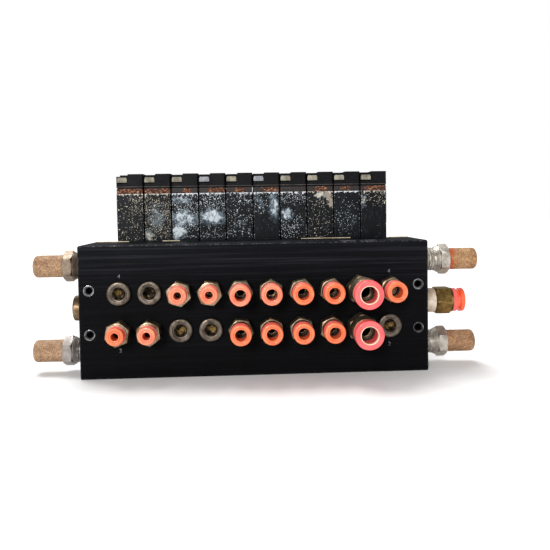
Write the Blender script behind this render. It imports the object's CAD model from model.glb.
import bpy
import bmesh
import math
from mathutils import Matrix, Vector, noise

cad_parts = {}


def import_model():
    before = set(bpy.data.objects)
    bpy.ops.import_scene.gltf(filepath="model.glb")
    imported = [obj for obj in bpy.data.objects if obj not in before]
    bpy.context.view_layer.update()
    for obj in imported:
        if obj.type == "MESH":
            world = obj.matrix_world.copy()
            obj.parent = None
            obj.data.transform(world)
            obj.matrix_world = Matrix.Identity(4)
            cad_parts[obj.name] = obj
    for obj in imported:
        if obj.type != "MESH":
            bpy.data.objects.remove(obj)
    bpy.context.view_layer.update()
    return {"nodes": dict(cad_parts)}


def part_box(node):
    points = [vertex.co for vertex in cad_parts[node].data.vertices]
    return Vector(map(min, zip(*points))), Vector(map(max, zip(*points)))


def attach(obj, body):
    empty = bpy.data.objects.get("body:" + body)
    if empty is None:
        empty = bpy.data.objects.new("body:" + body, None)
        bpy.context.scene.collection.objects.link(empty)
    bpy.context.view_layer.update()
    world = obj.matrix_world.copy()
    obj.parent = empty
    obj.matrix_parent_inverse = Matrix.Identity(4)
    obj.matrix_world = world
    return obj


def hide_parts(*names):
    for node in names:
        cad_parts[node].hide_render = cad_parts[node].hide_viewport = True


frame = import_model()

MM = 0.001
TAU = 2 * math.pi
BODY = "manifold"
base_lo, base_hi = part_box("manifold_base")
FACE_Y, VALVE_Y = base_lo.y, base_hi.y
MID_Z = (base_lo.z + base_hi.z) / 2
TOP_Z = base_hi.z
STATIONS = 10
station_x = [(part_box(f"override_button_{i}")[0].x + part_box(f"override_button_{i}")[1].x) / 2
             for i in range(1, STATIONS + 1)]
ROW_GAP = 24 * MM
VALVE_W = 18.6 * MM
MOUNT_INSET, MOUNT_RISE = 6.5 * MM, 14 * MM
GALLERY_GAP = 28 * MM


# Camera, at the angle from which the photograph was taken
def make_camera():
    data = bpy.data.cameras.new("camera")
    cam = bpy.data.objects.new("camera", data)
    bpy.context.scene.collection.objects.link(cam)
    bpy.context.scene.camera = cam
    data.sensor_width, data.lens = 36, 41.45
    data.shift_x, data.shift_y = -0.0018, -0.074
    data.clip_start, data.clip_end = 0.01, 20
    yaw, pitch, roll = -0.05, -0.04, -0.0155
    ahead0 = Vector((-math.sin(yaw), math.cos(yaw), 0))
    right0 = Vector((math.cos(yaw), math.sin(yaw), 0))
    ahead = ahead0 * math.cos(pitch) + Vector((0, 0, math.sin(pitch)))
    up0 = ahead0 * -math.sin(pitch) + Vector((0, 0, math.cos(pitch)))
    right = right0 * math.cos(roll) + up0 * math.sin(roll)
    up = up0 * math.cos(roll) - right0 * math.sin(roll)
    turn = Matrix((right, up, -ahead)).transposed().to_4x4()
    stand = (-0.00646, FACE_Y - 0.400, MID_Z + 0.0635)
    cam.matrix_world = Matrix.Translation(stand) @ turn


make_camera()


# ---- shader helpers ----
def rgb(r, g, b):
    def lin(c):
        c /= 255
        return c / 12.92 if c <= 0.04045 else ((c + 0.055) / 1.055) ** 2.4
    return (lin(r), lin(g), lin(b), 1)


class Shader:
    """A Principled material whose colour, roughness and bump come from nodes."""

    def __init__(self, name, metallic=0.0, roughness=0.5, specular=0.5, coat=0.0):
        self.mat = bpy.data.materials.new(name)
        self.mat.use_nodes = True
        self.tree = self.mat.node_tree
        self.bsdf = self.tree.nodes["Principled BSDF"]
        self.bsdf.inputs["Metallic"].default_value = metallic
        self.bsdf.inputs["Roughness"].default_value = roughness
        self.bsdf.inputs["Specular IOR Level"].default_value = specular
        self.bsdf.inputs["Coat Weight"].default_value = coat
        self.at = self.node("ShaderNodeTexCoord").outputs["Object"]

    def node(self, kind, props=None, **values):
        n = self.tree.nodes.new(kind)
        for k, v in (props or {}).items():
            setattr(n, k, v)
        for k, v in values.items():
            self.put(n.inputs[k.replace("_", " ")], v)
        return n

    def put(self, socket, v):
        if isinstance(v, bpy.types.NodeSocket):
            self.tree.links.new(v, socket)
        else:
            socket.default_value = v

    def math(self, op, a, b):
        n = self.tree.nodes.new("ShaderNodeMath")
        n.operation = op
        for s, v in zip(n.inputs, (a, b)):
            self.put(s, v)
        return n.outputs[0]

    def scaled(self, x, y, z, shift=(0, 0, 0)):
        return self.node("ShaderNodeMapping", Vector=self.at, Location=shift, Scale=(x, y, z)).outputs[0]

    def noise(self, scale, detail=3.0, rough=0.55, at=None, distort=0.0):
        return self.node("ShaderNodeTexNoise", Vector=at or self.at, Scale=scale, Detail=detail,
                         Roughness=rough, Distortion=distort).outputs["Fac"]

    def cells(self, scale, at):
        """A pattern of grains: how far each point is from its grain's middle, and a tone of the grain's own."""
        cell = self.node("ShaderNodeTexVoronoi", Vector=at, Scale=float(scale))
        tone = self.node("ShaderNodeSeparateColor", Color=cell.outputs["Color"]).outputs[0]
        return cell.outputs["Distance"], tone

    def ramp(self, v, lo, hi, out_lo=0.0, out_hi=1.0):
        n = self.node("ShaderNodeMapRange", {"interpolation_type": "SMOOTHSTEP"})
        for s, x in zip(("Value", "From Min", "From Max", "To Min", "To Max"), (v, lo, hi, out_lo, out_hi)):
            self.put(n.inputs[s], x)
        return n.outputs[0]

    def mix(self, f, a, b):
        n = self.node("ShaderNodeMix", {"data_type": "RGBA"})
        self.put(n.inputs[0], f)
        self.put(n.inputs[6], a)
        self.put(n.inputs[7], b)
        return n.outputs[2]

    def attribute(self, name):
        return self.node("ShaderNodeAttribute", {"attribute_name": name}).outputs["Fac"]

    def axis(self, which):
        return self.node("ShaderNodeSeparateXYZ", Vector=self.at).outputs[which]

    def color(self, v):
        self.put(self.bsdf.inputs["Base Color"], v)

    def rough(self, v):
        self.put(self.bsdf.inputs["Roughness"], v)

    def metal(self, v):
        self.put(self.bsdf.inputs["Metallic"], v)

    def bump(self, height, distance, strength):
        n = self.node("ShaderNodeBump", Strength=strength, Distance=distance, Height=height)
        self.put(self.bsdf.inputs["Normal"], n.outputs[0])


def near_edge(s, lo, hi):
    """How far a point of a box's skin is from the nearest edge, as a node value."""
    gaps = []
    for k in range(3):
        v = s.axis(k)
        gaps.append(s.math("MINIMUM", s.math("SUBTRACT", v, lo[k]), s.math("SUBTRACT", hi[k], v)))
    a, b, c = gaps
    small, big = s.math("MINIMUM", a, b), s.math("MAXIMUM", a, b)
    return s.math("MAXIMUM", small, s.math("MINIMUM", big, c))


def anodised():
    s = Shader("black_anodised", roughness=0.45, specular=0.035)
    z = s.axis(2)
    streak = s.noise(1.0, 6, 0.65, s.scaled(9, 60, 900))
    fine = s.noise(1.0, 3, 0.6, s.scaled(60, 400, 4200))
    high = s.ramp(z, MID_Z + 0.006, TOP_Z - 0.004)
    glow = s.math("MULTIPLY", s.ramp(streak, 0.42, 0.72), s.math("ADD", s.math("MULTIPLY", high, 0.75), 0.12))
    glow = s.math("MULTIPLY", glow, s.ramp(fine, 0.3, 0.7, 0.5, 1.0))
    cloud = s.noise(45, 4, 0.6)
    colour = s.mix(s.ramp(cloud, 0.3, 0.7), rgb(4, 4, 5), rgb(6, 6, 8))
    colour = s.mix(s.math("MULTIPLY", high, 0.6), colour, rgb(16, 17, 21))
    colour = s.mix(s.math("MULTIPLY", glow, 0.5), colour, rgb(58, 59, 68))
    dust = s.ramp(s.noise(2600, 2, 0.5), 0.68, 0.8)
    colour = s.mix(s.math("MULTIPLY", dust, 0.25), colour, rgb(120, 118, 116))
    edge = near_edge(s, base_lo, base_hi)
    chips = s.ramp(s.noise(700, 4, 0.7), 0.5, 0.62)
    wear = s.math("MULTIPLY", s.ramp(edge, 0.0011, 0.0002), chips)
    chips_high = s.ramp(s.noise(220, 4, 0.7), 0.56, 0.66)
    top_edge = s.math("MULTIPLY", s.ramp(z, TOP_Z - 0.0014, TOP_Z - 0.0002), chips_high)
    top_edge = s.math("MULTIPLY", top_edge, s.ramp(edge, 0.0012, 0.0003))
    wear = s.math("MAXIMUM", s.math("MULTIPLY", wear, 0.5), s.math("MULTIPLY", top_edge, 0.7))
    s.color(s.mix(wear, colour, rgb(120, 120, 124)))
    s.metal(s.math("MULTIPLY", wear, 0.7))
    s.rough(s.ramp(cloud, 0.3, 0.7, 0.42, 0.6))
    s.bump(s.math("ADD", s.math("MULTIPLY", fine, 0.4), s.noise(3000, 2)), 0.00002, 0.5)
    return s.mat


def plated(name, light, dark, dirt, shine, dirtiness, seed=0.0, metallic=0.95):
    """Nickel-plated brass with brown grime in its hollows and scuffed, brighter high spots."""
    s = Shader(name, metallic=0.9, roughness=shine)
    at = s.scaled(1, 1, 1, (seed, seed * 0.7, seed * 1.3))
    cloud = s.noise(210, 5, 0.65, at)
    blot = s.noise(620, 4, 0.7, at, 0.6)
    colour = s.mix(s.ramp(cloud, 0.35, 0.65), light, dark)
    grime = s.math("MULTIPLY", s.ramp(blot, 0.64 - 0.2 * dirtiness, 0.76), 0.2 + 0.9 * dirtiness)
    colour = s.mix(grime, colour, dirt)
    rub = s.ramp(s.noise(1900, 3, 0.6, at), 0.6, 0.7)
    colour = s.mix(s.math("MULTIPLY", rub, 0.35), colour, light)
    s.color(colour)
    s.metal(s.ramp(grime, 0.0, 1.0, metallic, 0.35))
    s.rough(s.math("ADD", s.math("MULTIPLY", grime, 0.25), s.ramp(blot, 0.3, 0.7, shine - 0.08, shine + 0.1)))
    s.bump(s.math("ADD", blot, s.math("MULTIPLY", s.noise(4200, 2, 0.5, at), 0.4)), 0.00002, 0.35)
    return s.mat


def deepened(mat, dark, glint):
    """Darkens a plated material where its attribute says that the surface lies deep in a hole."""
    tree = mat.node_tree
    bsdf = tree.nodes["Principled BSDF"]
    s = Shader.__new__(Shader)
    s.mat, s.tree, s.bsdf = mat, tree, bsdf
    s.at = next(n for n in tree.nodes if n.type == "TEX_COORD").outputs["Object"]
    colour = bsdf.inputs["Base Color"].links[0].from_socket
    deep = s.attribute("deep")
    inside = s.mix(s.ramp(s.noise(330, 4, 0.6), 0.48, 0.62), dark, glint)
    s.color(s.mix(deep, colour, s.mix(s.ramp(deep, 0.6, 1.0), dark, inside)))
    return mat


def bronze(name, light, dark, seed):
    """Sintered grains of about 0.5 mm: each its own tone, a little darker in between, some pores and dirt."""
    s = Shader(name, metallic=0.2, roughness=0.66, specular=0.35)
    at = s.scaled(1, 1, 1, (seed, seed, seed))
    grain, own = s.cells(1900, at)
    cloud = s.noise(160, 5, 0.6, at)
    colour = s.mix(s.ramp(cloud, 0.3, 0.7), light, dark)
    colour = s.mix(s.ramp(own, 0.5, 1.0, 0.0, 0.4), colour, rgb(232, 194, 150))
    colour = s.mix(s.ramp(own, 0.4, 0.0, 0.0, 0.5), colour, rgb(120, 78, 52))
    colour = s.mix(s.ramp(grain, 0.4, 0.8, 0.0, 0.35), colour, rgb(96, 60, 40))
    pores = s.ramp(s.noise(1300, 3, 0.6, at), 0.62, 0.68)
    colour = s.mix(s.math("MULTIPLY", pores, 0.5), colour, rgb(80, 48, 32))
    stain = s.math("MULTIPLY", s.attribute("stain"), s.ramp(cloud, 0.25, 0.55, 0.5, 1.0))
    s.color(s.mix(stain, colour, rgb(168, 74, 30)))
    s.bump(s.math("MULTIPLY", grain, -1.0), 0.00025, 0.8)
    return s.mat


def plastic(name, colour, colour2, shine, grime, seed=0.0, coat=0.0):
    """Moulded plastic with uneven colour, specks of dirt and a fine moulded skin."""
    s = Shader(name, roughness=shine, specular=0.5, coat=coat)
    at = s.scaled(1, 1, 1, (seed, seed, seed))
    cloud = s.noise(150, 4, 0.6, at)
    c = s.mix(s.ramp(cloud, 0.35, 0.65), colour, colour2)
    specks = s.ramp(s.noise(1700, 3, 0.6, at), 0.66, 0.76)
    dark = tuple(0.35 * v for v in colour[:3]) + (1,)
    c = s.mix(s.math("MULTIPLY", specks, grime), c, dark)
    s.color(c)
    s.rough(s.ramp(s.noise(500, 3, 0.6, at), 0.3, 0.7, shine - 0.07, shine + 0.1))
    s.bump(s.noise(5200, 2, 0.5, at), 0.00002, 0.35)
    return s.mat


def worn_black(name, grey, blue, scratch, seed):
    """Black moulded plastic or paint, greyed by dust and light scratches."""
    s = Shader(name, roughness=0.4, specular=0.1)
    at = s.scaled(1, 1, 1, (seed, seed, seed))
    cloud = s.noise(120, 5, 0.65, at)
    lines = s.noise(1.0, 3, 0.6, s.scaled(300, 300, 2200, (seed, 0, seed)))
    c = s.mix(s.ramp(cloud, 0.3, 0.7), rgb(grey * 0.6, grey * 0.6, grey * 0.6 + blue),
              rgb(grey * 1.3, grey * 1.3, grey * 1.3 + blue))
    c = s.mix(s.math("MULTIPLY", s.ramp(lines, 0.66, 0.78), 0.3 * scratch), c, rgb(84, 84, 88))
    dust = s.ramp(s.noise(2300, 2, 0.5, at), 0.67, 0.78)
    c = s.mix(s.math("MULTIPLY", dust, 0.5 * scratch), c, rgb(150, 148, 142))
    s.color(c)
    s.rough(s.ramp(cloud, 0.3, 0.7, 0.42, 0.62))
    s.bump(s.noise(3600, 2, 0.5, at), 0.00003, 0.4)
    return s.mat


def corroded(name, seed, warm):
    """A valve's black painted casting: its attributes say where it hazes, specks and crusts over."""
    s = Shader(name, roughness=0.45, specular=0.12)
    at = s.scaled(1, 1, 1, (seed, seed * 2.1, seed * 0.3))
    cloud = s.noise(110, 4, 0.6, at)
    c = s.mix(s.ramp(cloud, 0.3, 0.7), rgb(5, 7, 9), rgb(13, 16, 20))
    smear = s.noise(1.0, 5, 0.7, s.scaled(420, 420, 150, (seed, 0, seed)))
    c = s.mix(s.ramp(smear, 0.52, 0.8, 0.0, 0.4), c, rgb(74, 86, 96))
    pale = rgb(214, 222, 226) if not warm else rgb(206, 196, 178)
    haze = s.attribute("haze")
    ragged = s.math("SUBTRACT", s.noise(330, 7, 0.8, at, 0.8), 0.5)
    torn = s.math("ADD", haze, s.math("MULTIPLY", s.math("MULTIPLY", ragged, 2.2), s.ramp(haze, 0.0, 0.25)))
    c = s.mix(s.ramp(torn, 0.15, 0.75, 0.0, 0.6), c, rgb(112, 128, 140))
    c = s.mix(s.ramp(torn, 0.6, 1.0, 0.0, 0.85), c, pale)
    tan = s.math("ADD", s.attribute("tan"), s.math("MULTIPLY", ragged, 1.4))
    c = s.mix(s.ramp(tan, 0.5, 0.8, 0.0, 0.85), c, rgb(152, 142, 130))
    speck = s.attribute("speck")
    wobble = s.math("MULTIPLY", s.math("SUBTRACT", s.noise(2600, 3, 0.6, at), 0.5), 0.55)
    dot = 0.0
    for scale, share, radius in ((900, 0.07, 0.5), (2100, 0.24, 0.6)):
        middle, own = s.cells(scale, at)
        picked = s.math("LESS_THAN", own, s.math("MULTIPLY", speck, share))
        near = s.ramp(s.math("ADD", middle, wobble), radius, radius - 0.2)
        dot = s.math("MAXIMUM", dot, s.math("MULTIPLY", picked, near))
    c = s.mix(s.math("MULTIPLY", dot, 0.85), c, pale)
    crust = s.math("ADD", s.attribute("crust"),
                   s.math("MULTIPLY", s.math("SUBTRACT", s.noise(760, 5, 0.75, at), 0.5), 3.4))
    crust = s.ramp(crust, 0.52, 0.78)
    c = s.mix(s.math("MULTIPLY", crust, 0.9), c, rgb(206, 196, 182) if warm else rgb(220, 224, 226))
    s.color(c)
    s.rough(s.math("ADD", 0.4, s.math("MULTIPLY", s.ramp(torn, 0.3, 0.9), 0.35)))
    rise = s.math("ADD", s.math("MULTIPLY", crust, 1.2), s.math("MULTIPLY", dot, 0.8))
    s.bump(s.math("ADD", rise, s.math("MULTIPLY", s.noise(2600, 3, 0.6, at), 0.35)), 0.00008, 0.7)
    return s.mat


def rusted(name, seed):
    """The steel yoke: black paint where it holds, streaked and broken rust where its attribute says."""
    s = Shader(name, roughness=0.7, specular=0.25)
    at = s.scaled(1, 1, 1, (seed, seed * 1.7, seed))
    n = s.noise(520, 6, 0.72, at)
    fine = s.noise(1.0, 4, 0.7, s.scaled(620, 620, 1500, (seed, 0, seed)))
    paint = s.mix(s.ramp(n, 0.3, 0.7), rgb(18, 15, 17), rgb(48, 38, 36))
    red = s.mix(s.ramp(n, 0.38, 0.6), rgb(52, 37, 31), rgb(118, 68, 46))
    red = s.mix(s.ramp(fine, 0.55, 0.64, 0.0, 0.85), red, rgb(206, 158, 124))
    red = s.mix(s.ramp(fine, 0.5, 0.42, 0.0, 0.9), red, rgb(26, 17, 15))
    where = s.math("ADD", s.attribute("rust"), s.math("MULTIPLY", s.math("SUBTRACT", n, 0.5), 3.4))
    mask = s.ramp(where, 0.55, 0.8)
    s.color(s.mix(mask, paint, red))
    s.rough(s.ramp(mask, 0, 1, 0.5, 0.85))
    s.bump(s.math("ADD", s.math("MULTIPLY", mask, 0.8), fine), 0.00012, 0.8)
    return s.mat


def metal(name, colour, roughness, grime=0.25):
    """Bare metal, a little dirty, with fine lines across it."""
    s = Shader(name, metallic=1.0, roughness=roughness)
    n = s.noise(480, 4, 0.6)
    lines = s.noise(1.0, 3, 0.6, s.scaled(500, 500, 3500))
    c = s.mix(s.ramp(n, 0.5, 0.75, 0.0, grime), colour, tuple(0.35 * v for v in colour[:3]) + (1,))
    c = s.mix(s.ramp(lines, 0.5, 0.8, 0.0, 0.25), c, tuple(min(1, 1.3 * v) for v in colour[:3]) + (1,))
    s.color(c)
    s.rough(s.ramp(n, 0.3, 0.7, roughness - 0.06, roughness + 0.14))
    s.bump(lines, 0.00001, 0.4)
    return s.mat


def rubber(name="seal_rubber"):
    s = Shader(name, roughness=0.75, specular=0.25)
    s.color(s.mix(s.ramp(s.noise(700, 4), 0.3, 0.7), rgb(16, 16, 17), rgb(34, 33, 33)))
    s.bump(s.noise(3000, 3), 0.00003, 0.4)
    return s.mat


# ---- mesh helpers ----
def link(name, mesh, material, body, replaced=(), crease=35):
    """Puts a finished mesh into the scene; edges sharper than crease, in degrees, stay sharp."""
    mesh.materials.append(material)
    obj = bpy.data.objects.new(name, mesh)
    bpy.context.scene.collection.objects.link(obj)
    mesh.shade_smooth()
    mesh.set_sharp_from_angle(angle=math.radians(crease))
    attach(obj, body)
    if replaced:
        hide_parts(*replaced)


def port_frame(x, z):
    """Local Z leaves the port face, local X and Y run along and up the face."""
    m = Matrix(((1, 0, 0), (0, 0, -1), (0, 1, 0))).to_4x4()
    return Matrix.Translation((x, FACE_Y, z)) @ m


def end_frame(side, z):
    """Local Z leaves the left (-1) or right (1) end face, and local X stays across the depth."""
    m = Matrix(((0, 0, side), (-side, 0, 0), (0, 1, 0))).to_4x4()
    x = base_hi.x if side > 0 else base_lo.x
    return Matrix.Translation((x, 0, z)) @ m


FILLET_STEPS = 4


def fillet(points, closed=False):
    """Rounds the corners of an (r, z) outline; a corner's third number is its radius in mm."""
    out = []
    count = len(points)
    for k, p in enumerate(points):
        radius = p[2] if len(p) > 2 else 0
        here = Vector(p[:2])
        if radius == 0 or (not closed and k in (0, count - 1)):
            out.append(tuple(here))
            continue
        back, on = Vector(points[k - 1][:2]), Vector(points[(k + 1) % count][:2])
        u, v = back - here, on - here
        reach = radius / math.tan(u.angle(v) / 2)
        reach = min(reach, u.length * 0.49, v.length * 0.49)
        a, c = here + u.normalized() * reach, here + v.normalized() * reach
        for s in range(FILLET_STEPS + 1):
            t = s / FILLET_STEPS
            out.append(tuple((1 - t) ** 2 * a + 2 * t * (1 - t) * here + t * t * c))
    return out


def revolve(rows, place, seg, closed=False):
    """A mesh from rows of (r, z) in mm; r and z may be functions of the angle. Rows with r = 0 close to a point."""
    verts, ids = [], []
    for r, z in rows:
        if not callable(r) and r == 0:
            ids.append([len(verts)] * seg)
            verts.append(place @ Vector((0, 0, z * MM)))
            continue
        ids.append(list(range(len(verts), len(verts) + seg)))
        for k in range(seg):
            a = TAU * k / seg
            q = (r(a) if callable(r) else r) * MM
            h = (z(a) if callable(z) else z) * MM
            verts.append(place @ Vector((q * math.cos(a), q * math.sin(a), h)))
    faces = []
    pairs = list(zip(ids, ids[1:])) + ([(ids[-1], ids[0])] if closed else [])
    for lo, hi in pairs:
        for k in range(seg):
            j = (k + 1) % seg
            f = [lo[k], lo[j], hi[j], hi[k]]
            f = [v for n, v in enumerate(f) if v not in f[:n]]
            if len(f) > 2:
                faces.append(f)
    return verts, faces


def make_mesh(name, parts):
    """One mesh, with its faces turned outward, from parts that are each a list of points and a list of faces."""
    verts, faces = [], []
    for v, f in parts:
        base = len(verts)
        verts += v
        faces += [[base + k for k in g] for g in f]
    mesh = bpy.data.meshes.new(name)
    mesh.from_pydata([tuple(v) for v in verts], [], faces)
    bm = bmesh.new()
    bm.from_mesh(mesh)
    bmesh.ops.recalc_face_normals(bm, faces=bm.faces)
    bm.to_mesh(mesh)
    bm.free()
    return mesh


def deepen(mesh, place, top, reach):
    """Writes how deep each point of a hole lies under its rim at height top, as 0 to 1 over reach; both in mm."""
    back = place.inverted()
    hole_r = 4.3 * MM
    values = [max(0.0, min(1.0, (top - (back @ v.co).z / MM) / reach)) * (Vector((back @ v.co)[:2]).length < hole_r)
              for v in mesh.vertices]
    mesh.attributes.new("deep", "FLOAT", "POINT").data.foreach_set("value", values)
    return mesh


def hexagon(flats, turned, phase, soft):
    """The radius of a hexagon at an angle, with its corners turned down to a radius and softened."""
    def r(a):
        b = (a + phase) % (TAU / 6) - TAU / 12
        flat = flats / 2 / math.cos(b)
        k = (turned - flat) / soft
        return flat - soft * math.log(1 + math.exp(-k)) if k < 12 else flat
    return r


def hex_rows(flats, z0, z1, phase, chamfer=0.7):
    """Rows of a turned hexagon from z0 to z1, with the arcs that a chamfer cuts on its corners."""
    corner, low = flats / math.sqrt(3), flats / 2 - 0.25
    steps, soft = 7, 0.12
    climb = [k / steps for k in range(steps + 1)]
    fall = [1 - t for t in climb]
    return [(hexagon(flats, low + (corner - low) * t, phase, soft), z + way * chamfer * t ** 1.25)
            for shares, z, way in ((climb, z0, 1), (fall, z1, -1)) for t in shares]


def thread_rows(r, z0, z1, pitch=1.4, depth=0.45, step=0.14, wrap=0.0, seed=0):
    """Rows of a helical thread; wrap adds the creases of a sealing tape."""
    rows = []
    count = max(2, round((z1 - z0) / step))
    for k in range(count + 1):
        z = z0 + (z1 - z0) * k / count

        def radius(a, z=z):
            t = (z / pitch - a / TAU) % 1
            ridge = depth * abs(2 * t - 1) ** 1.2
            fade = min(1, (z - z0) / 0.4 + 0.2, (z1 - z) / 0.4 + 0.2)
            crease = wrap * noise.noise(Vector((math.cos(a) * 3, math.sin(a) * 3 + seed, z * 1.6)))
            return r - ridge * fade - wrap * 0.4 + min(crease, wrap * 0.4)
        rows.append((radius, z))
    return rows


def slab(lo, hi, bevel):
    """A box from lo to hi in metres, with its edges rounded by a bevel in mm."""
    bm = bmesh.new()
    bmesh.ops.create_cube(bm, size=1)
    size, mid = Vector(hi) - Vector(lo), (Vector(hi) + Vector(lo)) / 2
    bmesh.ops.scale(bm, vec=size, verts=bm.verts)
    bmesh.ops.translate(bm, vec=mid, verts=bm.verts)
    bmesh.ops.bevel(bm, geom=bm.edges[:], offset=bevel * MM, segments=2, profile=0.5, affect="EDGES")
    verts = [v.co.copy() for v in bm.verts]
    bm.verts.index_update()
    faces = [[v.index for v in f.verts] for f in bm.faces]
    bm.free()
    return verts, faces


# ---- push-in fittings ----
PORT_THREAD_D, END_THREAD_D = 12.4, 16.2
THREAD_PLAY = 0.05    # how far a thread's crests stay inside its hole
TUBE_PLAY, COLLAR_WALL, CAVITY_WALL = 0.25, 1.2, 2
COLLAR_REACH, COLLAR_LIFT = 5, 2    # from the mouth in to the collar's tip, and out to its flange
CHUCK_ROOM, SEAL_ROOM = 5.65, 3.4


class Fitting:
    """A fitting's outline in mm from its seat, as the frame has it."""

    def __init__(self, tube, flats, hex_from, hex_to, cap, body, ring_t, flange, flange_t, thread, wrap):
        self.tube, self.flats, self.hex_from, self.hex_to = tube, flats, hex_from, hex_to
        self.cap, self.body = cap, body
        self.flange, self.thread, self.wrap = flange, thread, wrap
        self.bore = tube / 2 + TUBE_PLAY
        self.neck = self.bore + COLLAR_WALL
        self.cavity = self.bore + CAVITY_WALL
        mouth = body + ring_t
        self.tip = mouth - COLLAR_REACH
        self.face = mouth + COLLAR_LIFT
        self.end = self.face + flange_t
        self.seal = self.tip - CHUCK_ROOM
        self.stop = self.seal - SEAL_ROOM


SMALL = Fitting(4.1, 14, 2, 11.6, 12.6, 12.9, 1.2, 11, 2.3, PORT_THREAD_D, 0.12)
MEDIUM = Fitting(6.5, 14, 2.4, 10.6, 13.2, 15.6, 3, 13, 2.7, PORT_THREAD_D, 0.14)
LARGE = Fitting(9.7, 16.5, 2.8, 12, 17.2, 24.6, 3, 17.6, 3.6, PORT_THREAD_D, 0.14)
SUPPLY = Fitting(9.7, 17, 10.4, 20.6, 16.4, 22.2, 2.8, 16, 3, END_THREAD_D, 0.3)
PLUG = None
ROWS = {
    "a": [PLUG, PLUG, SMALL, SMALL, MEDIUM, MEDIUM, MEDIUM, MEDIUM, LARGE, MEDIUM],
    "b": [SMALL, SMALL, PLUG, PLUG, MEDIUM, MEDIUM, MEDIUM, MEDIUM, LARGE, PLUG],
}
ROW_Z = {"a": MID_Z + ROW_GAP / 2, "b": MID_Z - ROW_GAP / 2}
SEG = 180


def fitting_body(f, place, turn, seed):
    """Thread, turned hexagon and round end, hollow down to its tube stop; turn is in steps of 2 degrees."""
    flow = f.tube / 2 - 0.9
    r = f.thread / 2 - THREAD_PLAY
    outer = [(flow, -6), (r - 0.6, -6), (r, -5.2), (r, -0.05)]
    outer += thread_rows(r, 0, f.hex_from, wrap=f.wrap, seed=seed)
    outer += hex_rows(f.flats, f.hex_from, f.hex_to, math.radians(2 * turn))
    groove = f.hex_to + 0.9
    outer += fillet([(f.cap / 2 - 0.3, f.hex_to), (f.cap / 2 - 0.3, groove - 0.3, 0.1), (f.cap / 2, groove, 0.2),
                     (f.cap / 2, f.body, 0.5), (f.cavity, f.body)])
    inner = [(f.cavity, f.seal), (f.tube / 2, f.seal), (f.tube / 2, f.stop), (flow, f.stop)]
    return revolve(outer + inner, place, SEG, closed=True)


def collar(f, place, lip, seed):
    """A release collar with rounded lips; lip is the width of a raised ring round its bore."""
    face = [(f.flange / 2, f.face, 0.5), (f.flange / 2, f.end, 0.8)]
    if lip:
        step = f.bore + lip
        face += [(step + 0.45, f.end, 0.3), (step + 0.1, f.end - 0.45, 0.15), (step - 0.15, f.end - 0.1, 0.2)]
    profile = fillet([(f.bore, f.tip), (f.neck - 0.4, f.tip), (f.neck, f.tip + 0.4), (f.neck, f.face, 0.3)]
                     + face + [(f.bore + 0.05, f.end - 0.05, 0.7), (f.bore, f.end - 1.5)], closed=True)
    dented = []
    for r, z in profile:
        def radius(a, r=r, z=z):
            wave = noise.noise(Vector((math.cos(a) * 2, math.sin(a) * 2 + seed, z * 0.8)))
            return r + (0.05 * wave - 0.05 if r > f.neck + 0.2 else 0)
        dented.append((radius, z))
    return revolve(dented, place, SEG, closed=True)


def bore_ring(f, place):
    """The pale insert that shows round a large collar's bore."""
    lo, hi = f.bore - 0.02, f.bore + 0.62
    rows = fillet([(lo, f.end - 2.4), (hi - 0.3, f.end - 2.4), (hi, f.end - 1, 0.1), (hi, f.end - 0.02, 0.3),
                   (lo, f.end - 0.02, 0.25)], closed=True)
    return revolve(rows, place, 96, closed=True)


# ---- port plugs ----
# Thread, head and its height, key across flats and how deep the key goes
ROW_PLUG = (PORT_THREAD_D, 15.2, 3, 6.35, 6)
SUPPLY_PLUG = (END_THREAD_D, 16.8, 8, 7.94, 8)


def plug(place, thread, head, height, key, depth, seed):
    """A hexagon-socket plug with a bruised rim."""
    corner = key / math.sqrt(3)
    r = thread / 2 - THREAD_PLAY

    def bruise(rr, z):
        def radius(a):
            return rr - 0.09 * max(0, noise.noise(Vector((math.cos(a) * 3, math.sin(a) * 3 + seed, z))))
        return radius
    outer = [(0, -8), (r - 0.6, -8), (r, -7.4), (r, -0.02)]
    outer += [(bruise(q, z), z) for q, z in fillet([(r, 0.02), (head / 2, 0.02, 0.2), (head / 2, height, 1.3),
                                                    (corner + 1.5, height, 0.3), (corner + 1.3, height - 0.5)])]
    socket = hexagon(key, corner, 0, 0.05)
    inside = [(corner + 0.6, height - 0.6), (corner + 0.1, height - 1.2), (socket, height - 1.7),
              (socket, height - depth), (key / 2 - 1, height - depth - 0.1), (0, height - depth - 0.9)]
    return revolve(outer + inside, place, SEG)


# ---- silencers ----
SILENCER_D, SILENCER_LEN, SILENCER_AF, SILENCER_HEX_T = 14.8, 19.6, 18, 6.4
SILENCER_WALL, SEAT_STEP, SEAT_DEPTH = 2.6, 0.8, 4
NECKS = {"upper_left": 7.4, "lower_left": 8.8, "upper_right": 13, "lower_right": 11.2}


def silencer_body(place, neck, turn, wrap, seed):
    """A taped thread, a cone, and a turned hexagon with a seat for the sintered cup."""
    bore = SILENCER_D / 2 - SILENCER_WALL
    seat = SILENCER_D / 2 - SEAT_STEP
    r = END_THREAD_D / 2 - THREAD_PLAY
    top = neck + SILENCER_HEX_T
    cone = neck - 2.6
    rows = [(bore, -9), (r - 0.6, -9), (r, -8.4), (r, -0.02)]
    rows += thread_rows(r, 0, cone, 1.8, 0.7, 0.12, wrap, seed)
    rows += fillet([(r - 0.2, cone), (SILENCER_AF / 2 + 0.3, neck - 0.3, 0.8), (SILENCER_AF / 2 - 0.3, neck)])
    rows += hex_rows(SILENCER_AF, neck, top, math.radians(2 * turn), 0.9)
    rows += fillet([(SILENCER_AF / 2 - 0.5, top), (SILENCER_D / 2 + 0.5, top, 0.2), (seat, top - 0.5, 0.1),
                    (seat, top - SEAT_DEPTH), (bore, top - SEAT_DEPTH)])
    return revolve(rows, place, SEG, closed=True)


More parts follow.
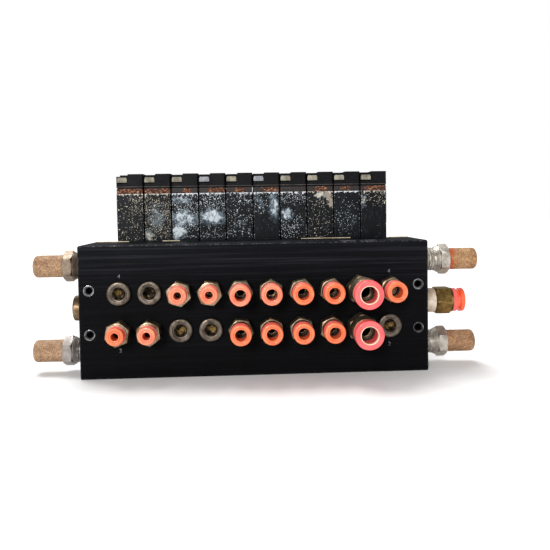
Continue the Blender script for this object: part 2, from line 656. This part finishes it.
def silencer_element(name, place, neck, rough, stained, seed):
    """A sintered cup: every grain stands out from its skin."""
    top = neck + SILENCER_HEX_T
    end = top + SILENCER_LEN
    r, corner = SILENCER_D / 2, 2.4
    bore, seat = r - SILENCER_WALL, r - SEAT_STEP
    outline = [(bore, top - SEAT_DEPTH), (seat, top - SEAT_DEPTH), (seat, top - 0.2)]
    skin = []
    step = 0.24
    count = round((SILENCER_LEN - corner) / step)
    skin += [(r, top + (SILENCER_LEN - corner) * k / count, 0) for k in range(count + 1)]
    arc, flat = 14, 18
    skin += [(r - corner + corner * math.cos(math.pi / 2 * k / arc),
              end - corner + corner * math.sin(math.pi / 2 * k / arc), k / arc) for k in range(1, arc + 1)]
    skin += [((r - corner) * (1 - k / flat), end, 1) for k in range(1, flat)]
    inside = [(0.01, end), (0.01, end - SILENCER_WALL), (bore, end - SILENCER_WALL)]

    def grain(q, z, lean):
        def depth(a):
            p = Vector((q * math.cos(a), q * math.sin(a) + seed, z))
            near = noise.voronoi(p * 1.5)[0][0]
            worn = noise.fractal(p * 0.35, 1.0, 2.0, 3)
            return rough * (0.32 * near + 0.1 * max(0, worn))
        return (lambda a: max(0.01, q - 0.02 - depth(a) * (1 - lean * 0.6)),
                lambda a: z - (depth(a) * lean + 0.02 * (lean > 0)))
    rows = [(q, z) for q, z in outline] + [grain(*p) for p in skin] + inside
    mesh = make_mesh(name, [revolve(rows, place, 176, closed=True)])
    stain = mesh.attributes.new("stain", "FLOAT", "POINT")
    back = place.inverted()
    for k, v in enumerate(mesh.vertices):
        p = back @ v.co / MM
        wet = noise.fractal(Vector((p.x, p.y, p.z)) * 0.3 + Vector((seed, 0, 0)), 1.0, 2.0, 3)
        stain.data[k].value = stained * max(0, min(1, 1.15 - (p.z - top) / 4.5 + 0.7 * wet))
    return mesh


# ---- skins on the valves' faces ----
def blob(x, z, cx, cz, rx, rz, tilt=0.0):
    """1 inside an ellipse with a soft rim, 0 outside; x and z are in mm."""
    dx, dz = x - cx, z - cz
    u = (dx * math.cos(tilt) + dz * math.sin(tilt)) / rx
    w = (dz * math.cos(tilt) - dx * math.sin(tilt)) / rz
    d = math.sqrt(u * u + w * w)
    return max(0, min(1, 1.6 - d))


def face_skin(name, x0, x1, z0, z1, y, relief, seed, fields, step=0.5):
    """A thin crust over a flat face that looks out of the port side, with a field of values per attribute."""
    nx, nz = round((x1 - x0) / MM / step), round((z1 - z0) / MM / step)
    verts, values = [], {k: [] for k in fields}
    for j in range(nz + 1):
        for i in range(nx + 1):
            x, z = x0 + (x1 - x0) * i / nx, z0 + (z1 - z0) * j / nz
            at = (x - x0) / MM, (z - z0) / MM
            for k, f in fields.items():
                values[k].append(max(0.0, min(1.0, f(*at))))
            p = Vector((at[0], at[1], seed * 7))
            bumpy = 0.5 + 0.5 * noise.fractal(p * 0.9, 0.8, 2.0, 4)
            edge = min(i, j, nx - i, nz - j)
            lift = 0 if edge == 0 else relief * (0.25 + 0.75 * max(0, min(1, bumpy)))
            if "crust" in fields:
                lift += 0 if edge == 0 else 0.12 * values["crust"][-1] * max(0, bumpy)
            verts.append(Vector((x, y - (0.01 + lift) * MM, z)))
    faces = [[j * (nx + 1) + i, j * (nx + 1) + i + 1, (j + 1) * (nx + 1) + i + 1, (j + 1) * (nx + 1) + i]
             for j in range(nz) for i in range(nx)]
    mesh = bpy.data.meshes.new(name)
    mesh.from_pydata([tuple(v) for v in verts], [], faces)
    for k, v in values.items():
        mesh.attributes.new(k, "FLOAT", "POINT").data.foreach_set("value", v)
    return mesh


# ---- materials ----
COAL = corroded("valve_casting", 3.1, True)
NICKEL = plated("nickel_brass", rgb(158, 138, 112), rgb(104, 86, 66), rgb(54, 41, 30), 0.34, 0.5)
NICKEL_B = plated("nickel_brass_dull", rgb(150, 134, 110), rgb(98, 84, 66), rgb(50, 40, 30), 0.42, 0.6, 4.0)
NICKEL_S = plated("nickel_brass_small", rgb(172, 152, 126), rgb(112, 84, 60), rgb(66, 42, 27), 0.32, 0.6, 8.0)
OLIVE = plated("supply_brass", rgb(158, 128, 74), rgb(100, 78, 40), rgb(60, 46, 26), 0.36, 0.3, 2.0)
PLUG_METAL = deepened(plated("plug_brass", rgb(112, 102, 91), rgb(68, 59, 52), rgb(36, 29, 24), 0.4, 0.5, 6.0),
                      rgb(18, 14, 10), rgb(104, 82, 44))
WORN_NICKEL = plated("worn_nickel", rgb(132, 116, 100), rgb(106, 90, 76), rgb(70, 52, 38), 0.46, 0.25, 1.0, 0.7)
BRIGHT_NICKEL = plated("bright_nickel", rgb(160, 154, 151), rgb(134, 126, 121), rgb(86, 72, 62), 0.42, 0.12, 5.0, 0.7)
GREY_NICKEL = plated("grey_nickel", rgb(186, 180, 170), rgb(150, 140, 129), rgb(92, 76, 62), 0.45, 0.18, 7.0, 0.7)
BORE_METAL = deepened(plated("mount_thread", rgb(190, 190, 192), rgb(90, 90, 92), rgb(40, 39, 38), 0.3, 0.3, 9.0),
                      rgb(12, 11, 11), rgb(60, 58, 56))
CREAM = plastic("cream_insert", rgb(240, 216, 184), rgb(222, 180, 150), 0.45, 0.3)
PINK_RING = plastic("coral_guide", rgb(240, 104, 100), rgb(228, 84, 82), 0.42, 0.4, 2.0)
COLLARS = {
    "salmon": plastic("salmon_plastic", rgb(233, 137, 100), rgb(222, 112, 80), 0.38, 0.35, 1.0, 0.15),
    "peach": plastic("peach_plastic", rgb(238, 134, 100), rgb(228, 112, 80), 0.38, 0.35, 3.0, 0.15),
    "orange": plastic("orange_plastic", rgb(236, 122, 76), rgb(224, 101, 56), 0.36, 0.3, 5.0, 0.2),
    "coral": plastic("coral_plastic", rgb(240, 97, 97), rgb(229, 78, 80), 0.38, 0.25, 7.0, 0.2),
    "red": plastic("red_orange_plastic", rgb(238, 104, 60), rgb(228, 82, 42), 0.34, 0.25, 9.0, 0.25),
}
COLLAR_LOOK = {
    "a3": "salmon", "a4": "salmon", "a5": "peach", "a6": "peach", "a7": "orange", "a8": "orange",
    "a9": "coral", "a10": "orange", "b1": "orange", "b2": "salmon", "b5": "orange", "b6": "orange",
    "b7": "orange", "b8": "orange", "b9": "coral",
}
CAD_LOOKS = {
    "manifold_base": anodised(),
    "valve_bodies": COAL,
    "valve_gaskets": rubber("gasket_rubber"),
    "valve_screws": metal("screw_steel", rgb(150, 142, 128), 0.38, 0.6),
    "end_covers": worn_black("cover_plastic", 12, 3, 0.6, 2.0),
    "solenoid_housings": worn_black("solenoid_plastic", 10, 3, 0.7, 4.0),
    "coil_windings": metal("copper", rgb(200, 120, 70), 0.35, 0.3),
    "return_springs": metal("spring_steel", rgb(176, 176, 178), 0.28),
    "connector_caps": worn_black("cap_plastic", 9, 3, 0.9, 6.0),
    "guide_rings": PINK_RING,
    "tube_seals": rubber(),
    "collet_chucks": metal("chuck_steel", rgb(190, 186, 178), 0.3),
}
SPOOL = metal("spool_steel", rgb(186, 186, 190), 0.22)
BUTTON = plastic("button_brass", rgb(206, 132, 52), rgb(188, 112, 38), 0.4, 0.3, 4.0)
for name, look in CAD_LOOKS.items():
    frame["nodes"][name].data.materials.clear()
    frame["nodes"][name].data.materials.append(look)
for i in range(1, STATIONS + 1):
    for name, look in ((f"spool_{i}", SPOOL), (f"override_button_{i}", BUTTON)):
        frame["nodes"][name].data.materials.clear()
        frame["nodes"][name].data.materials.append(look)


# ---- put the port face together ----
# How far each hexagon was tightened, in steps of 2 degrees
HEX_TURNS = {"a3": 9, "a4": 5, "a5": 0, "a6": 15, "a7": 24, "a8": 21, "a9": 8, "a10": 19,
             "b1": 20, "b2": 12, "b5": 3, "b6": 13, "b7": 9, "b8": 18, "b9": 13}
for row, kinds in ROWS.items():
    for i, kind in enumerate(kinds, 1):
        tag = f"{row}{i}"
        place = port_frame(station_x[i - 1], ROW_Z[row])
        if kind is PLUG:
            mesh = make_mesh("plug", [plug(place, *ROW_PLUG, i * 3)])
            link(f"port_plug_{tag}", deepen(mesh, place, top=2, reach=3), PLUG_METAL, BODY,
                 ("port_plugs",))
            continue
        body_look = NICKEL_S if kind is SMALL else (NICKEL, NICKEL_B)[(i + len(tag) * (row == "b")) % 2]
        mesh = make_mesh("fitting", [fitting_body(kind, place, HEX_TURNS[tag], i + ord(row))])
        link(f"fitting_body_{tag}", mesh, body_look, BODY, ("fitting_bodies",))
        node = f"release_collar_{tag}"
        mesh = make_mesh("collar", [collar(kind, place, {SMALL: 1.1, MEDIUM: 0.75, LARGE: 0}[kind], i * 5)])
        slot = "coral_plastic" if kind is LARGE else "orange_plastic"
        link(f"collar_{tag}", mesh, COLLARS[COLLAR_LOOK[tag]], node, (node,))
        if kind is LARGE:
            link(f"collar_insert_{tag}", make_mesh("insert", [bore_ring(kind, place)]), CREAM, node)

supply_place = end_frame(1, MID_Z)
link("fitting_body_supply", make_mesh("fitting", [fitting_body(SUPPLY, supply_place, 1, 40)]), OLIVE, BODY,
     ("fitting_bodies",))
link("collar_supply", make_mesh("collar", [collar(SUPPLY, supply_place, 0, 50)]), COLLARS["red"],
     "release_collar_supply", ("release_collar_supply",))
supply_plug_place = end_frame(-1, MID_Z)
mesh = make_mesh("plug", [plug(supply_plug_place, *SUPPLY_PLUG, 60)])
SUPPLY_PLUG_METAL = deepened(
    plated("supply_plug_brass", rgb(140, 118, 92), rgb(92, 74, 56), rgb(48, 36, 26), 0.4, 0.5, 3.0),
    rgb(22, 16, 12), rgb(120, 96, 52))
link("port_plug_supply", deepen(mesh, supply_plug_place, top=7, reach=3), SUPPLY_PLUG_METAL, BODY,
     ("port_plugs",))

TAPE = plastic("sealing_tape", rgb(214, 198, 182), rgb(168, 146, 124), 0.55, 0.5, 4.0)
tape_r = SUPPLY.thread / 2 - 0.1


def tape_radius(z):
    def radius(a):
        crease = noise.noise(Vector((math.cos(a) * 4, math.sin(a) * 4, z * 1.3)))
        return tape_r + 0.1 + 0.12 * crease + 0.1 * math.sin(z * 4.5 - a)
    return radius


tape_rows = [(tape_r - 0.5, 0.1)] + [(tape_radius(z), z) for z in (0.1 + 0.2 * k for k in range(51))]
tape_rows.append((tape_r - 0.5, 10.3))
link("supply_tape", make_mesh("tape", [revolve(tape_rows, supply_place, SEG, closed=True)]), TAPE, BODY)

# ---- the silencers on the end faces ----
SILENCER_LOOKS = {
    # body, its slot, hexagon's turn, tape, light and dark bronze, how rough its grains are, how far rust stains it
    "upper_left": (WORN_NICKEL, "worn_nickel", 15, 0.3, rgb(172, 140, 108), rgb(138, 104, 78), 0.9, 0.0),
    "lower_left": (BRIGHT_NICKEL, "bright_nickel", 13, 0.4, rgb(174, 144, 114), rgb(140, 108, 82), 0.8, 0.0),
    "upper_right": (GREY_NICKEL, "bright_nickel", 15, 0.3, rgb(178, 140, 100), rgb(142, 101, 64), 1.3, 1.0),
    "lower_right": (GREY_NICKEL, "bright_nickel", 14, 0.3, rgb(166, 128, 94), rgb(130, 94, 66), 0.9, 0.1),
}
for seed, (place_name, look) in enumerate(SILENCER_LOOKS.items()):
    body_look, slot, turn, tape, light, dark, rough, stained = look
    level, side = place_name.split("_")
    sign = 1 if level == "upper" else -1
    place = end_frame(-1 if side == "left" else 1, MID_Z + sign * GALLERY_GAP)
    neck = NECKS[place_name]
    mesh = make_mesh("silencer_body", [silencer_body(place, neck, turn, tape, seed * 9)])
    link(f"muffler_body_{place_name}", mesh, body_look, BODY, (f"silencer_body_{place_name}",))
    mesh = silencer_element("silencer_element", place, neck, rough, stained, seed * 11)
    link(f"muffler_element_{place_name}", mesh, bronze(f"sintered_{place_name}", light, dark, seed),
         BODY, (f"silencer_element_{place_name}",), 60)

# ---- mounting holes ----
for sx in (-1, 1):
    for sz in (-1, 1):
        place = port_frame(sx * (base_hi.x - MOUNT_INSET), MID_Z + sz * MOUNT_RISE)
        ring = fillet([(3.22, -0.02), (3.36, 0.03, 0.04), (3.2, 0.06, 0.05), (2.05, -1.02, 0.1), (2.02, -1.14),
                       (2.2, -1.14)], closed=True)
        inner = [(lambda a, z=z: 2.06 - 0.22 * abs(2 * ((z / 0.8 - a / TAU) % 1) - 1), z)
                 for z in (-1.1 - 0.1 * k for k in range(80))]
        shell = [(2.08, -9.1), (2.08, -1.1)]
        mesh = make_mesh("mount_thread", [revolve(ring, place, 96, closed=True),
                                          revolve(inner + shell, place, 96, closed=True)])
        link(f"mount_thread_{'l' if sx < 0 else 'r'}{'t' if sz > 0 else 'b'}", deepen(mesh, place, top=-0.6, reach=0.5),
             BORE_METAL, BODY)

# ---- valves: their faces over the base, the rusted plates, the backs ----
FACE_Z0 = TOP_Z + 0.7 * MM
YOKE_H = 3.4 * MM
YOKE_Z1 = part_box("yoke_plates")[1].z
YOKE_Z0 = YOKE_Z1 - YOKE_H
rust_looks = [rusted(f"rusted_steel_{k}", 2.0 + 3 * k) for k in range(3)]
frame["nodes"]["yoke_plates"].data.materials.clear()
frame["nodes"]["yoke_plates"].data.materials.append(rusted("rusted_steel", 1.0))


def spots(*places):
    """A field of torn spots; each is centre across and up, radii across and up, strength, and a tilt."""
    def f(x, z):
        push = noise.noise_vector(Vector((x * 0.35, z * 0.35, 4))) * 3 + noise.noise_vector(Vector((x, z, 9))) * 1.2
        return max((p[4] * blob(x + push.x, z + push.y, *p[:4], *p[5:]) for p in places), default=0.0)
    return f


# How each valve has weathered over the base: haze, tan stains, specks, its crust under the plate, the
# rusty stretch of the plate as shares of its width, and whether the corrosion is warm in tone
VALVES = [
    dict(speck=[(13, 27, 5, 7, 1.0), (8, 12, 9, 14, 0.45)], crust=0.8, rust=(0, 1), warm=True),
    dict(haze=[(8, 16, 5, 8, 0.55), (3, 4, 3, 3, 0.8)], tan=[(14.5, 15, 2.5, 14, 0.5)],
         speck=[(8, 17, 10, 17, 1.0)], crust=0.85, rust=(0, 1), warm=True),
    dict(haze=[(3, 29, 2, 3, 0.7), (9, 28, 3, 2.5, 0.6), (8, 15, 8, 5, 0.8), (4, 6, 4.5, 5, 1.0)],
         speck=[(9, 20, 10, 14, 1.0)], crust=1.0, rust=(0.45, 0.75), warm=False),
    dict(haze=[(8.6, 16, 8.5, 5, 0.85)], speck=[(9, 26, 9, 7, 1.0), (9, 6, 9, 6, 0.4)], crust=0.85,
         rust=(0.35, 1), warm=False),
    dict(haze=[(10, 10, 5, 4, 0.3)], speck=[(11, 28, 7, 4, 1.0), (8, 12, 9, 12, 0.4)], crust=0.75,
         rust=(0.3, 0.7), warm=False),
    dict(haze=[(4, 26, 2, 8, 0.4, 0.6), (14, 23, 3, 9, 0.75)], speck=[(5, 25, 5, 6, 0.7)], crust=0.85,
         rust=(0.4, 0.95), warm=False),
    dict(haze=[(4, 17, 3.5, 4, 0.8)], speck=[(9, 29, 10, 4.5, 1.0), (6, 8, 7, 9, 0.9)], crust=0.85, rust=None,
         warm=False),
    dict(haze=[(8.6, 30, 4, 2, 0.95)], tan=[(15.6, 27, 2.4, 7, 1.0, 0.3)],
         speck=[(9, 27, 8, 5, 0.6), (9, 8, 9, 10, 0.4)], crust=0.8, rust=(0.3, 0.8), warm=True),
    dict(haze=[(9, 12, 9, 10, 0.2)], speck=[(9, 14, 8, 10, 0.25)], crust=0.8, rust=(0.3, 0.6), warm=False),
    dict(haze=[(1.5, 26, 1.5, 4, 0.7)], speck=[(4, 28, 4, 4, 1.0), (14, 28, 4, 5, 1.0)], crust=0.75,
         rust=(0.2, 1), warm=True),
]
FACE_W, FACE_H = 17.8, (YOKE_Z0 - FACE_Z0) / MM - 0.2
for i, look in enumerate(VALVES, 1):
    x = station_x[i - 1]

    def crust(across, up, strength=look["crust"], phase=i):
        jag = noise.noise(Vector((across * 0.6, phase * 9, 0))) + 0.6 * noise.noise(Vector((across * 2, phase, 3)))
        top = 1.3 - (FACE_H - up) / max(0.3, 1.2 + 2.4 * jag)
        side = 0.6 * (1 - min(across, FACE_W - across) / 0.5)
        return strength * max(0, top if jag > -0.35 else 0, side)
    fields = {"haze": spots(*look.get("haze", [])), "tan": spots(*look.get("tan", [])),
              "speck": spots(*look.get("speck", [])), "crust": crust}
    mesh = face_skin("face", x - FACE_W / 2 * MM, x + FACE_W / 2 * MM, FACE_Z0, FACE_Z0 + FACE_H * MM, VALVE_Y, 0.1, i,
                     fields)
    link(f"valve_face_{i}", mesh, corroded(f"valve_face_{i}", i * 1.9, look["warm"]), BODY, (), 60)
    lo, hi = look["rust"] or (2, 2)
    width = VALVE_W / MM - 1

    def rusty(across, up, lo=lo, hi=hi, width=width):
        share = across / width
        return 0.92 * max(0, min(1, (share - lo) * 4 + 0.7, (hi - share) * 4 + 0.7))
    mesh = face_skin("plate", x - width / 2 * MM, x + width / 2 * MM, YOKE_Z0 + 0.1 * MM, YOKE_Z1 - 0.1 * MM,
                     VALVE_Y + 0.2 * MM, 0.16, i + 30, {"rust": rusty}, 0.3)
    link(f"plate_rust_{i}", mesh, rust_looks[i % 3], BODY, (), 60)


# A worn seam runs along each cap just over the plate
SEAM = plastic("worn_seam", rgb(84, 70, 66), rgb(34, 28, 28), 0.55, 0.6, 8.0)
for i, x in enumerate(station_x, 1):
    ledge = slab((x - 9.1 * MM, VALVE_Y - 0.08 * MM, YOKE_Z1 + 1.1 * MM),
                 (x + 9.1 * MM, VALVE_Y + 0.3 * MM, YOKE_Z1 + 1.5 * MM), 0.1)
    link(f"cap_seam_{i}", make_mesh("seam", [ledge]), SEAM, BODY)


# ---- the base's worn rear edge ----
def ragged_strip(x0, x1, y0, y1, z, thick, seed):
    """A flat strip along X with torn edges; sizes in mm, from the base's origin."""
    count = max(3, round((x1 - x0) / 0.6))
    rings = []
    for k in range(count + 1):
        x = x0 + (x1 - x0) * k / count
        near = y0 + 0.35 * noise.noise(Vector((x * 0.9, seed, 0)))
        far = y1 + 0.1 * noise.noise(Vector((x * 0.9, seed, 5)))
        high = z + thick * (0.75 + 0.25 * noise.noise(Vector((x, seed, 9))))
        rings.append([Vector(p) * MM for p in ((x, near, z), (x, far, z), (x, far, high), (x, near, high))])
    verts = [v for ring in rings for v in ring]
    faces = [[4 * k + s, 4 * k + (s + 1) % 4, 4 * k + 4 + (s + 1) % 4, 4 * k + 4 + s]
             for k in range(count) for s in range(4)]
    last = 4 * count
    faces += [[3, 2, 1, 0], [last, last + 1, last + 2, last + 3]]
    return verts, faces


PUTTY = plastic("gasket_film", rgb(228, 212, 182), rgb(176, 158, 128), 0.6, 0.5, 3.0)
edge_y, top_z = VALVE_Y / MM, TOP_Z / MM
half = base_hi.x / MM
films = [(-half + 1.5, station_x[0] / MM - 1, 1.5), (station_x[1] / MM + 3, station_x[2] / MM - 4, 1.1),
         (station_x[6] / MM + 5, station_x[8] / MM + 2, 1.1), (station_x[9] / MM + 10.5, half - 1.5, 1.4)]
for k, (x0, x1, deep) in enumerate(films, 1):
    strip = ragged_strip(x0, x1, edge_y - deep - 0.3, edge_y - 0.3, top_z - 0.01, 0.6, k * 4)
    link(f"gasket_film_{k}", make_mesh("film", [strip]), PUTTY, BODY)
BARE = metal("bare_aluminium", rgb(170, 170, 172), 0.45, 0.5)
BARE_SPANS = [(56, 66), (69, 71), (72, 79)]
for k, (x0, x1) in enumerate(BARE_SPANS, 1):
    strip = ragged_strip(x0, x1, edge_y - 37.6, edge_y - 36.4, top_z - 0.01, 0.06, 50 + k)
    link(f"bare_patch_{k}", make_mesh("patch", [strip]), BARE, BODY)


# ---- plug inserts and name plates ----
BEIGE = plastic("beige_plastic", rgb(150, 144, 126), rgb(104, 98, 82), 0.5, 0.8)
CHALK = plastic("chalky_plastic", rgb(150, 152, 158), rgb(98, 100, 106), 0.55, 0.8, 5.0)
CAP_TOP = base_hi.z + 47 * MM


def socket_insert(x):
    """A moulded insert: three shallow windows in its front, and a step along its top."""
    lo = Vector((x - 8.8 * MM, VALVE_Y - 0.35 * MM, CAP_TOP - 5.9 * MM))
    hi = lo + Vector((6.9 * MM, 9 * MM, 3.5 * MM))
    parts = [slab(lo, (hi.x, hi.y, hi.z - 0.9 * MM), 0.25)]
    parts.append(slab((lo.x + 0.3 * MM, lo.y + 0.25 * MM, hi.z - 1.2 * MM), (hi.x - 0.3 * MM, hi.y, hi.z), 0.2))
    for k in (-1, 0, 1):
        cx = (lo.x + hi.x) / 2 + 2 * k * MM
        parts.append(slab((cx - 0.75 * MM, lo.y - 0.12 * MM, lo.z + 0.5 * MM),
                          (cx + 0.75 * MM, lo.y + 1 * MM, lo.z + 2.2 * MM), 0.15))
    return make_mesh("insert", parts)


for i, x in enumerate(station_x, 1):
    tone = CHALK if i in (4, 6) else BEIGE
    link(f"socket_insert_{i}", socket_insert(x), tone, BODY, ("connector_inserts",))
PLATE = metal("plate_foil", rgb(176, 178, 182), 0.42, 0.35)
BACK_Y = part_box("solenoid_housings")[1].y
PLATE_W, PLATE_Z0, PLATE_Z1 = 13 * MM, 24 * MM, 60 * MM
for i, x in enumerate(station_x, 1):
    plate = slab((x - PLATE_W / 2, BACK_Y - 0.02 * MM, PLATE_Z0),
                 (x + PLATE_W / 2, BACK_Y + 0.25 * MM, PLATE_Z1), 0.1)
    link(f"name_plate_{i}", make_mesh("plate", [plate]), PLATE, BODY)


# ---- port numbers ----
INK = plastic("stamped_paint", rgb(120, 120, 124), rgb(56, 56, 60), 0.6, 0.8)
DIGIT_H, UPPER_RISE, LOWER_DROP = 3.6 * MM, 10.6 * MM, 12.3 * MM


def digit(name, text, x, z):
    """A number stamped on the port face, raised by a hair."""
    data = bpy.data.curves.new(name, "FONT")
    data.body = text
    data.size = DIGIT_H
    data.extrude = 0.02 * MM
    data.align_x, data.align_y = "CENTER", "CENTER"
    data.materials.append(INK)
    obj = bpy.data.objects.new(name, data)
    bpy.context.scene.collection.objects.link(obj)
    obj.location = (x, FACE_Y - 0.03 * MM, z)
    obj.rotation_euler = (math.pi / 2, 0, 0)
    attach(obj, BODY)


for side, i in (("left", 1), ("right", STATIONS)):
    digit(f"port_number_upper_{side}", "4", station_x[i - 1], ROW_Z["a"] + UPPER_RISE)
    digit(f"port_number_lower_{side}", "2", station_x[i - 1], ROW_Z["b"] - LOWER_DROP)


# ---- room ----
def floor():
    verts = [(-4, -4, 0), (4, -4, 0), (4, 4, 0), (-4, 4, 0)]
    mesh = bpy.data.meshes.new("floor")
    mesh.from_pydata(verts, [], [(0, 1, 2, 3)])
    s = Shader("floor", roughness=0.9, specular=0.1)
    s.color(s.mix(s.ramp(s.noise(30, 3), 0.3, 0.7), rgb(250, 250, 250), rgb(247, 247, 247)))
    mesh.materials.append(s.mat)
    obj = bpy.data.objects.new("floor", mesh)
    bpy.context.scene.collection.objects.link(obj)


def sun(name, toward, strength, spread):
    """Soft light from a far source that stands toward a direction; spread is its size in degrees."""
    data = bpy.data.lights.new(name, "SUN")
    data.energy, data.angle = strength, math.radians(spread)
    obj = bpy.data.objects.new(name, data)
    bpy.context.scene.collection.objects.link(obj)
    obj.rotation_euler = Vector(toward).to_track_quat("Z", "Y").to_euler()


def world():
    w = bpy.data.worlds.new("studio")
    bpy.context.scene.world = w
    w.use_nodes = True
    tree = w.node_tree
    back, out = tree.nodes["Background"], tree.nodes["World Output"]
    back.inputs["Color"].default_value = (1, 1, 1, 1)
    back.inputs["Strength"].default_value = 0.4
    seen = tree.nodes.new("ShaderNodeBackground")
    seen.inputs["Color"].default_value = (1, 1, 1, 1)
    mix = tree.nodes.new("ShaderNodeMixShader")
    tree.links.new(tree.nodes.new("ShaderNodeLightPath").outputs["Is Camera Ray"], mix.inputs[0])
    tree.links.new(back.outputs[0], mix.inputs[1])
    tree.links.new(seen.outputs[0], mix.inputs[2])
    tree.links.new(mix.outputs[0], out.inputs["Surface"])


floor()
world()
sun("key", (-0.3, -1, 0.35), 2.4, 15)
sun("top", (-0.25, 0.45, 1), 3.0, 35)
bpy.context.scene.view_settings.view_transform = "Standard"
